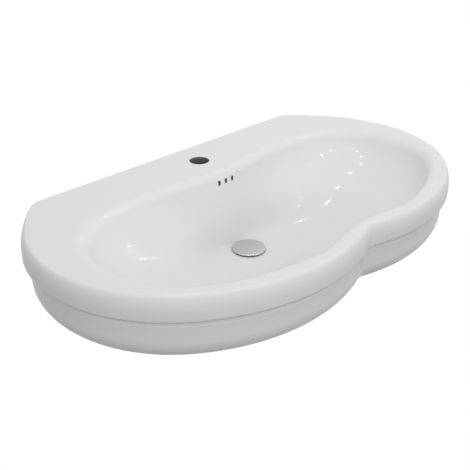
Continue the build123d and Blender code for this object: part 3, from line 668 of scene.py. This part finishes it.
def outlet_levels(sizes, place):
    """The boss under the bowl, the hole through it and the recess that the flange sits in."""
    ring = bowl_level(sizes, 0.0, place)[:, :2] - [0, WASTE_Y]
    ring /= np.linalg.norm(ring, axis=1)[:, None]
    floor_z = RIM_Z - sizes.lobe_depth - sizes.well_depth
    foot = (sizes.boss_radius, BASIN_LOW.z)
    hole = sizes.outlet_hole
    seat = SEAT_HIGH.x + SEAT_PLAY
    profile = about(foot, (3.5, 24), (1, 16), (0, 10), (0, 3), (-0.9, 0.9), (-3, 0))
    profile += about((hole, BASIN_LOW.z), (1.5, 0), (0, 1.5)) + about((hole, SEAT_LOW.z), (0, -1), (1, 0))
    profile += [(seat, SEAT_LOW.z)] + about((seat, floor_z), (0, -1.2), (0.35, -0.35), (1.2, 0))
    return ringed(ring, profile)


def between(first, last, shares):
    """Levels at shares of the way from one level to another."""
    return [first + (last - first) * share for share in shares]


def casting_levels(sizes):
    """All levels of the casting, once round: down the side, in under it, up the outlet and the bowl."""
    place = column_places(sizes)
    side = side_levels(sizes)
    under = [bowl_level(sizes, share, place, sizes.bowl_wall) for share in CASING_SHARES]
    under[0][:, 2] = side[-1][0, 2]
    bowl = bowl_levels(sizes, place)
    edge = bowl_edge_levels(bowl)
    deck = between(edge[-1], side[0], DECK_SHARES)
    foot = between(side[-1], under[0], FOOT_SHARES)
    return side + foot + under + outlet_levels(sizes, place) + bowl + edge + deck


# ---- solids and cutters ----
WELD = 0.001 * MM
SHARP_ANGLE = math.radians(38)


def into_scene(name, data):
    """A mesh, a light or a camera, put into the scene."""
    made = bpy.data.objects.new(name, data)
    bpy.context.scene.collection.objects.link(made)
    return made


def mesh_piece(name, points, faces):
    """A mesh object in the scene."""
    mesh = bpy.data.meshes.new(name)
    mesh.from_pydata(points.tolist(), [], faces)
    mesh.validate()
    return into_scene(name, mesh)


def reworked(piece, change):
    """A piece after a change to its mesh, in Blender's editing form."""
    work = bmesh.new()
    work.from_mesh(piece.data)
    change(work)
    work.to_mesh(piece.data)
    work.free()
    return piece


def faced_outward(piece):
    """Turns every face of a closed piece outward."""
    return reworked(piece, lambda work: bmesh.ops.recalc_face_normals(work, faces=work.faces))


def welded(piece):
    """Joins the points of a piece that lie on one another."""
    return reworked(piece, lambda work: bmesh.ops.remove_doubles(work, verts=work.verts, dist=WELD))


def mesh_copy(name, node):
    """A closed copy of a frame node's shape, to be worked on."""
    mesh = frame["nodes"][node].data.copy()
    mesh.name = name
    return welded(into_scene(name, mesh))


def stacked(name, levels, closed=False):
    """A solid through closed levels of equal length: capped at its ends, or joined end to end."""
    size = len(levels[0])
    count = len(levels)
    faces = []
    for row in range(count if closed else count - 1):
        low = row * size
        high = (row + 1) % count * size
        for column in range(size):
            onward = (column + 1) % size
            faces.append((low + column, low + onward, high + onward, high + column))
    if not closed:
        faces.append(tuple(range(size - 1, -1, -1)))
        faces.append(tuple(range((count - 1) * size, count * size)))
    return faced_outward(mesh_piece(name, np.concatenate(levels), faces))


def cut(piece, tools, operation="DIFFERENCE"):
    """Cuts separate tools out of a piece, or joins them on."""
    for tool in tools:
        change = piece.modifiers.new(tool.name, "BOOLEAN")
        change.object = tool
        change.operation = operation
        change.solver = "EXACT"
        change.material_mode = "TRANSFER"
    applied(piece)
    for tool in tools:
        bpy.data.objects.remove(tool)


def applied(piece):
    """Puts a piece's modifiers into its mesh."""
    made = piece.evaluated_get(bpy.context.evaluated_depsgraph_get())
    mesh = bpy.data.meshes.new_from_object(made)
    piece.modifiers.clear()
    piece.data = mesh


def smooth(piece):
    """Smooth shading with sharp edges, flat faces keeping their flat look."""
    piece.data.shade_smooth()
    piece.data.set_sharp_from_angle(angle=SHARP_ANGLE)
    weighted = piece.modifiers.new("flat faces first", "WEIGHTED_NORMAL")
    weighted.keep_sharp = True
    applied(piece)


# ---- shapes that cut the casting ----
CORNER_STEPS = 8
HOLE_STEPS = 72
FLARE_TURN = 80  # degrees that a mouth's rounding goes round
FLARE_PAST = 0.4  # how far a tool goes out past the surface, as a share of that rounding
OVERRUN = 3 * MM  # how far a tool runs past what it cuts
FIXING_EDGE = 1.5 * MM
OPENING_EDGE = 2.5 * MM
OPENING_CORNER = 18 * MM
OVERFLOW_STEPS = 32
OVERFLOW_EDGE = 1.0 * MM
DUCT_REACH = 9 * MM
DUCT_HALF_WIDTH = 26 * MM
DUCT_BACK_Y = -0.102
DUCT_FRONT_Y = -0.119
DUCT_HEIGHT = 30 * MM
DUCT_CORNER = 3 * MM
RIB_FOOT_Z = BASIN_LOW.z + 0.5 * MM
RIB_FRONT_Y = WASTE_Y + 0.026
# the overflow duct's outside from the side, as (Y, Z): down behind the bowl and in to the boss
RIB_OUTLINE = (
    (-0.092, -0.030), (-0.092, -0.046), (-0.146, RIB_FOOT_Z), (RIB_FRONT_Y, RIB_FOOT_Z),
    (RIB_FRONT_Y, -0.076), (-0.165, -0.076),
)
# the rib's sections from side to side: X, and how far each is drawn in to round the rib's corners
RIB_SECTIONS = ((-0.025, 0.14), (-0.0238, 0.06), (-0.021, 0.0), (0.021, 0.0), (0.0238, 0.06), (0.025, 0.14))


def rounded_block(half_x, y_low, y_high, corner):
    """A level with rounded corners, centred on X = 0."""
    right, low, high = half_x - corner, y_low + corner, y_high - corner
    points = []
    for quarter, centre in enumerate(((right, high), (-right, high), (-right, low), (right, low))):
        points += rounded_corner(centre, corner, 90 * quarter, 90 * quarter + 90, CORNER_STEPS)
    return np.array(points)


def flared(radius, edge):
    """A hole's mouth as (radius, depth), from its parallel part out to the surface and past it."""
    mouth = rounded_corner((radius + edge, edge), edge, 180, 180 + FLARE_TURN)
    return mouth + [(radius + edge, -FLARE_PAST * edge)]


def hole_tool(name, radius, edge, reach, steps, place):
    """A tool for a hole with a rounded mouth. Place sets a ring at its depth into the china."""
    profile = [(radius, reach)] + flared(radius, edge)
    return stacked(name, [place(circle(size, steps), depth) for size, depth in profile])


def tap_hole_tool(sizes):
    """The tap hole, from the rear cavity up through the deck's rounded mouth."""
    def place(ring, depth):
        return at_height(ring - [0, sizes.tap_hole_back], RIM_Z - depth)

    reach = sizes.deck_thickness + OVERRUN
    return hole_tool("tap hole", sizes.tap_hole, sizes.tap_hole_edge, reach, HOLE_STEPS, place)


def fixing_tool(sizes, side):
    """A wall bolt's hole, through the back wall into the rear cavity."""
    def place(ring, depth):
        x = ring[:, 0] + side * sizes.fixing_spacing / 2
        return np.column_stack([x, np.full(len(ring), -depth), ring[:, 1]])

    reach = sizes.back_wall + OVERRUN
    return hole_tool("wall bolt hole", sizes.fixing_hole, FIXING_EDGE, reach, HOLE_STEPS, place)


def overflow_tool(sizes, surface, along):
    """An upright oval hole whose rounded mouth follows the bowl's back wall."""
    half = sizes.overflow_width / 2
    straight = sizes.overflow_height / 2 - half

    def place(ring, depth):
        x = along * sizes.overflow_pitch + ring[:, 0]
        z = RIM_Z - sizes.overflow_drop + ring[:, 1] + np.where(ring[:, 1] >= 0, straight, -straight)
        hits = [surface.ray_cast((a, WASTE_Y, b), (0, 1, 0))[0].y for a, b in zip(x, z)]
        return np.column_stack([x, np.array(hits) + depth, z])

    return hole_tool("overflow hole", half, OVERFLOW_EDGE, DUCT_REACH, OVERFLOW_STEPS, place)


def cavity_tools(sizes):
    """The rear cavity, with its rounded mouth, and the overflow duct behind the bowl."""
    low = -sizes.back_wall - sizes.opening_depth
    foot_z = RIM_Z - sizes.band_height - sizes.flank_height - sizes.turn_height
    mouth = [(grown, foot_z + depth) for grown, depth in flared(0, OPENING_EDGE)[::-1]]
    levels = []
    for grown, height in mouth + [(0, RIM_Z - sizes.deck_thickness)]:
        half_x = sizes.opening_width / 2 + grown
        plan = rounded_block(half_x, low - grown, -sizes.back_wall + grown, OPENING_CORNER + grown)
        levels.append(at_height(plan, height))
    duct_low = RIM_Z - sizes.overflow_drop - DUCT_HEIGHT / 2
    plan = rounded_block(DUCT_HALF_WIDTH, DUCT_FRONT_Y, DUCT_BACK_Y, DUCT_CORNER)
    duct = [at_height(plan, duct_low + rise) for rise in (0, DUCT_HEIGHT)]
    return [stacked("rear cavity", levels), stacked("overflow duct", duct)]


def duct_rib():
    """The overflow duct's outside: a rib down behind the bowl to the boss."""
    outline_yz = np.array(RIB_OUTLINE)
    middle = outline_yz.mean(axis=0)
    levels = []
    for x, drawn_in in RIB_SECTIONS:
        section = outline_yz + (middle - outline_yz) * drawn_in
        levels.append(np.column_stack([np.full(len(section), x), section]))
    return stacked("duct rib", levels)


def china_casting(sizes, look):
    """The whole casting, glazed outside, with its openings left bare inside and coloured a grey of painted
    shade.
    """
    casting = stacked("basin_casting", casting_levels(sizes), closed=True)
    rib = duct_rib()
    for piece in (casting, rib):
        piece.data.materials.append(finish_for("glazed_china", look))
    cut(casting, [rib], "UNION")
    surface = BVHTree.FromObject(casting, bpy.context.evaluated_depsgraph_get())
    openings = [overflow_tool(sizes, surface, along) for along in (-1, 0, 1)]
    openings += [tap_hole_tool(sizes), fixing_tool(sizes, -1), fixing_tool(sizes, 1)]
    cavities = cavity_tools(sizes)
    for tool in openings + cavities:
        # the openings' insides get the bare china's grey, which is painted shade
        tool.data.materials.append(finish_for("bare_china", look))
    cut(casting, cavities)
    cut(casting, openings)
    smooth(casting)
    return casting


# ---- the waste's metal and rubber ----
ROUND_STEPS = 96
DOME_SHARES = (0.05, 0.15, 0.3, 0.45, 0.6, 0.75, 0.88, 0.97)
CAP_UNDER_EDGE = 0.5 * MM
PLUG_ROOT = 1 * MM  # rounding between the cap and its plug, and the cap's extra thickness over the hollow
LIP_FLAT = 0.3 * MM  # the flats on the foot lip's edges
LIP_REACH = 1.1 * MM  # how far the seal's lips stand out from its body
SPRING_ROWS = 176
WIRE_STEPS = 12
THREAD_STEPS = 72
THREAD_REACH = 1.6 * MM
GROOVE_WIDTH = 0.82  # of the thread's groove at its tool's outside, as a share of the pitch
GROOVE_SECTION = ((0.0, 0.12), (THREAD_REACH, 0.5), (THREAD_REACH, -0.5), (0.0, -0.12))


def turned_piece(name, profile):
    """A solid of revolution about the outlet's axis. The profile runs from axis to axis."""
    return welded(stacked(name, ringed(circle(1.0, ROUND_STEPS), profile)))


def cap_profile(sizes):
    """The cap's dome, its rounded rim, the plug with its foot lip, and the hollow for the stud's boss."""
    top_z = CAP_HIGH.z
    foot_z = CAP_LOW.z
    rounding = sizes.cap_rounding
    brim_z = top_z - sizes.cap_crown
    under_z = brim_z - sizes.cap_edge
    brim = CAP_HIGH.x - rounding
    dome = (brim**2 + sizes.cap_crown**2) / (2 * sizes.cap_crown)
    lean = math.degrees(math.asin(brim / dome))
    profile = [(0, top_z)]
    for share in DOME_SHARES:
        profile.append((brim * share, top_z - dome + math.sqrt(dome**2 - (brim * share) ** 2)))
    profile += rounded_corner((brim, brim_z - rounding), rounding, 90 - lean, 0)
    lower = (CAP_HIGH.x - CAP_UNDER_EDGE, under_z + CAP_UNDER_EDGE)
    profile += rounded_corner(lower, CAP_UNDER_EDGE, 0, -90, 4)
    plug = sizes.plug_radius
    ceiling_z = under_z - PLUG_ROOT
    profile += rounded_corner((plug + PLUG_ROOT, ceiling_z), PLUG_ROOT, 90, 180, 4)
    lip = plug + sizes.plug_lip
    lip_z = foot_z + sizes.plug_lip_height
    profile += [(plug, lip_z), (lip - LIP_FLAT, lip_z), (lip, lip_z - LIP_FLAT)]
    inner = plug - sizes.plug_wall
    boss = sizes.stud_radius + sizes.stud_boss_wall
    profile += [(lip, foot_z + LIP_FLAT), (lip - LIP_FLAT, foot_z), (inner, foot_z), (inner, ceiling_z)]
    stud = sizes.stud_radius
    stud_top = foot_z + sizes.stud_length
    return profile + [(boss, ceiling_z), (boss, foot_z), (stud, foot_z), (stud, stud_top), (0, stud_top)]


def lip_seal(sizes):
    """The seal: two thin lips, flared out to the throat, about a thick root on the plug."""
    low, high = LIP_LOW.z, LIP_HIGH.z
    root = sizes.plug_radius
    tip = LIP_HIGH.x
    body = tip - LIP_REACH
    profile = [(root, high)] + about((body, high), (-0.5, 0)) + about((tip, high), (-0.3, -0.1), (0, -0.3))
    profile += about((body, (low + high) / 2), (0, 0.7), (-0.2, 0), (0, -0.5))
    profile += about((tip, low), (0, 0.5), (-0.2, 0.15)) + about((body, low), (-0.4, 0)) + [(root, low)]
    return stacked("lip_seal", ringed(circle(1.0, ROUND_STEPS), profile), closed=True)


def coil_spring(sizes):
    """The cartridge's compression spring: round wire, with its last turn closed at each end."""
    wire = sizes.spring_wire
    turns = np.linspace(0, sizes.spring_turns, SPRING_ROWS + 1)
    low = SPRING_LOW.z + wire / 2
    high = SPRING_HIGH.z - wire / 2
    marks = (0, 1, sizes.spring_turns - 1, sizes.spring_turns)
    height = np.interp(turns, marks, (low, low + wire, high - wire, high))
    outward = np.column_stack([np.cos(2 * math.pi * turns), np.sin(2 * math.pi * turns), 0 * turns])
    line = (sizes.spring_radius - wire / 2) * outward + [0, WASTE_Y, 0]
    line[:, 2] = height
    along = np.gradient(line, axis=0)
    along /= np.linalg.norm(along, axis=1)[:, None]
    across = np.cross(outward, along)
    ring = circle(wire / 2, WIRE_STEPS)
    return stacked("coil_spring", [
        point + ring[:, :1] * out + ring[:, 1:] * over for point, out, over in zip(line, outward, across)
    ])


def thread_tool(sizes):
    """A coil whose section is the groove of the pipe thread, running out at its upper end."""
    pitch = sizes.thread_pitch
    steps = round((THREAD_TOP - BODY_LOW.z) / pitch + 2) * THREAD_STEPS
    levels = []
    for k in range(steps + 1):
        turn = 2 * math.pi * k / THREAD_STEPS
        height = BODY_LOW.z - pitch + pitch * k / THREAD_STEPS
        run_out = max(0.0, 1 - (steps - k) / THREAD_STEPS)
        root = sizes.barrel_radius - sizes.thread_depth * (1 - run_out)
        section = []
        for out, up in GROOVE_SECTION:
            radius = root + out
            rise = up * (pitch * GROOVE_WIDTH)
            section.append((radius * math.cos(turn), WASTE_Y + radius * math.sin(turn), height + rise))
        levels.append(np.array(section))
    return stacked("thread groove", levels)


# ---- the stage ----
FLOOR_SIZE = 12.0
SOFTBOX_PLACE = Vector((-1.15, -2.2, 0.65))
SOFTBOX_SIZE = 1.6
LAMP_SIZE = 0.04
LAMP_Z = 1.7
RING_CENTRE = np.array([0.6, -0.42])
RING_RADIUS = 0.84
ROW_START = Vector((2.3, -0.5, LAMP_Z))
ROW_STEP = Vector((0.03, 0.5, 0.0))
BACK_START = Vector((1.5, 1.6, LAMP_Z))
BACK_STEP = Vector((0.2, -0.1, 0.0))
CAMERA_PLACE = Vector((-0.8354, -0.9543, RIM_Z + 0.4859))
CAMERA_TURN = (math.radians(90 - 27.986), 0, math.radians(-46.475))
CAMERA_LENS = 52.37
SENSOR_WIDTH = 36


def floor_and_world(look, studio):
    """A floor under the basin, and a white surrounding that lights evenly from all round."""
    corners = np.array([(-1, -1), (1, -1), (1, 1), (-1, 1)]) * FLOOR_SIZE / 2
    floor = mesh_piece("floor", at_height(corners, RIM_Z - studio.rim_height), [(0, 1, 2, 3)])
    floor.data.materials.append(finish_for("floor", look))
    world = bpy.data.worlds.new("White studio")
    world.use_nodes = True
    tree = world.node_tree
    tree.nodes.clear()
    level = add(tree, "MapRange", {"Value": seen_ray(tree), "To Min": studio.ambient, "To Max": 1.0})
    sky = add(tree, "Background", {"Color": linear("#FFFFFF"), "Strength": level})
    add(tree, "OutputWorld", {"Surface": sky})
    bpy.context.scene.world = world


def area_lamp(name, place, size, power):
    """A square lamp at a place, facing the outlet at the rim's height."""
    light = bpy.data.lights.new(name, "AREA")
    light.shape = "SQUARE"
    light.size = size
    light.energy = power
    lamp = into_scene(name, light)
    lamp.location = place
    lamp.rotation_euler = (Vector((0.0, WASTE_Y, RIM_Z)) - place).to_track_quat("-Z", "Y").to_euler()
    return lamp


def lamps(studio):
    """One large soft light, a ring of small ceiling lamps and two rows at the right and the back.

    The soft light is off the glaze, which shows only the small lamps.
    """
    soft = area_lamp("soft light", SOFTBOX_PLACE, SOFTBOX_SIZE, studio.softbox_power)
    soft.visible_glossy = False
    places = [Vector((*(RING_CENTRE + point), LAMP_Z)) for point in circle(RING_RADIUS, studio.ring_lamps)]
    places += [ROW_START + ROW_STEP * k for k in range(studio.row_lamps)]
    for k, place in enumerate(places):
        area_lamp(f"small lamp {k}", place, LAMP_SIZE, studio.lamp_power)
    for k in range(studio.back_lamps):
        area_lamp(f"back lamp {k}", BACK_START + BACK_STEP * k, LAMP_SIZE / 2, studio.back_lamp_power)


def camera():
    """A camera in front of the basin's left lobe, looking down across the bowl."""
    lens = bpy.data.cameras.new("camera")
    lens.sensor_width = SENSOR_WIDTH
    lens.lens = CAMERA_LENS
    eye = into_scene("camera", lens)
    eye.location = CAMERA_PLACE
    eye.rotation_euler = Euler(CAMERA_TURN)
    bpy.context.scene.camera = eye


# ---- operators ----
def finished(piece, slot, context):
    """Smooths a piece and gives the whole of it the finish of a slot."""
    smooth(piece)
    piece.data.materials.clear()
    piece.data.materials.append(finish_for(slot, context.scene.washbasin_finishes))
    return piece


def placed(piece, body, node):
    """Says what a piece rides on, and hides the frame node that it stands for."""
    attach(piece, body)
    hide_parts(node)


class WASHBASIN_OT_casting(bpy.types.Operator):
    """Model the glazed china casting with its bowl, openings and overflow"""

    bl_idname = "washbasin.casting"
    bl_label = "China casting"

    def execute(self, context):
        casting = china_casting(context.scene.washbasin_china, context.scene.washbasin_finishes)
        placed(casting, FIXED_BODY, "basin")
        return {"FINISHED"}


class WASHBASIN_OT_waste(bpy.types.Operator):
    """Model the waste's flange, slotted barrel and hub, with the pipe thread cut on the barrel"""

    bl_idname = "washbasin.waste"
    bl_label = "Waste fitting"

    def execute(self, context):
        piece = mesh_copy("waste_fitting", "waste_body")
        cut(piece, [thread_tool(context.scene.washbasin_waste)])
        placed(finished(piece, "chromed_brass", context), FIXED_BODY, "waste_body")
        return {"FINISHED"}


class WASHBASIN_OT_cap(bpy.types.Operator):
    """Model the domed cap with its rounded rim and plug"""

    bl_idname = "washbasin.cap"
    bl_label = "Cap"

    def execute(self, context):
        piece = turned_piece("waste_cap", cap_profile(context.scene.washbasin_waste))
        placed(finished(piece, "chromed_brass", context), PLUG_BODY, "cap")
        return {"FINISHED"}


class WASHBASIN_OT_lip_seal(bpy.types.Operator):
    """Model the rubber seal's two lips round the plug"""

    bl_idname = "washbasin.lip_seal"
    bl_label = "Lip seal"

    def execute(self, context):
        piece = finished(lip_seal(context.scene.washbasin_waste), "black_rubber", context)
        placed(piece, PLUG_BODY, "cap_seal")
        return {"FINISHED"}


class WASHBASIN_OT_spring(bpy.types.Operator):
    """Model the cartridge's spring"""

    bl_idname = "washbasin.spring"
    bl_label = "Spring"

    def execute(self, context):
        piece = finished(coil_spring(context.scene.washbasin_waste), "spring_steel", context)
        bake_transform(piece)
        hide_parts("cartridge_spring")
        return {"FINISHED"}


class WASHBASIN_OT_kept_pieces(bpy.types.Operator):
    """Give every frame piece that keeps its shape the finish of its slot"""

    bl_idname = "washbasin.kept_pieces"
    bl_label = "Finish the kept pieces"

    def execute(self, context):
        look = context.scene.washbasin_finishes
        for subpart in frame["record"]["subparts"]:
            piece = frame["nodes"][subpart["node"]]
            for slot in piece.material_slots:
                slot.material = finish_for(subpart["material_slot"], look)
        return {"FINISHED"}


class WASHBASIN_OT_studio(bpy.types.Operator):
    """Set up the floor, the surroundings, the lamps and the camera"""

    bl_idname = "washbasin.studio"
    bl_label = "Studio"

    def execute(self, context):
        scene = context.scene
        scene.view_settings.view_transform = "Standard"
        floor_and_world(scene.washbasin_finishes, scene.washbasin_studio)
        lamps(scene.washbasin_studio)
        camera()
        return {"FINISHED"}


OPERATORS = (
    WASHBASIN_OT_casting, WASHBASIN_OT_waste, WASHBASIN_OT_cap, WASHBASIN_OT_lip_seal,
    WASHBASIN_OT_spring, WASHBASIN_OT_kept_pieces, WASHBASIN_OT_studio,
)


class WASHBASIN_PT_panel(bpy.types.Panel):
    """The washbasin's pieces and settings in the sidebar"""

    bl_idname = "WASHBASIN_PT_panel"
    bl_label = "Washbasin"
    bl_space_type = "VIEW_3D"
    bl_region_type = "UI"
    bl_category = "Washbasin"

    def draw(self, context):
        for operator in OPERATORS:
            self.layout.operator(operator.bl_idname)
        for name, group in GROUPS.items():
            box = self.layout.box()
            settings = getattr(context.scene, name)
            for setting in group.__annotations__:
                box.prop(settings, setting)


GROUPS = {
    "washbasin_china": ChinaSizes,
    "washbasin_waste": WasteSizes,
    "washbasin_finishes": Finishes,
    "washbasin_studio": Studio,
}
CLASSES = (*GROUPS.values(), *OPERATORS, WASHBASIN_PT_panel)


def register():
    """Makes the classes and the scene's settings known to Blender."""
    for made in CLASSES:
        bpy.utils.register_class(made)
    for name, group in GROUPS.items():
        setattr(bpy.types.Scene, name, PointerProperty(type=group))


def unregister():
    """Takes the settings and the classes away again."""
    for name in GROUPS:
        delattr(bpy.types.Scene, name)
    for made in reversed(CLASSES):
        bpy.utils.unregister_class(made)


def main():
    """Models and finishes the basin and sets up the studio."""
    register()
    bpy.ops.washbasin.casting()
    bpy.ops.washbasin.waste()
    bpy.ops.washbasin.cap()
    bpy.ops.washbasin.lip_seal()
    bpy.ops.washbasin.spring()
    bpy.ops.washbasin.kept_pieces()
    bpy.ops.washbasin.studio()


if __name__ == "__main__":
    main()
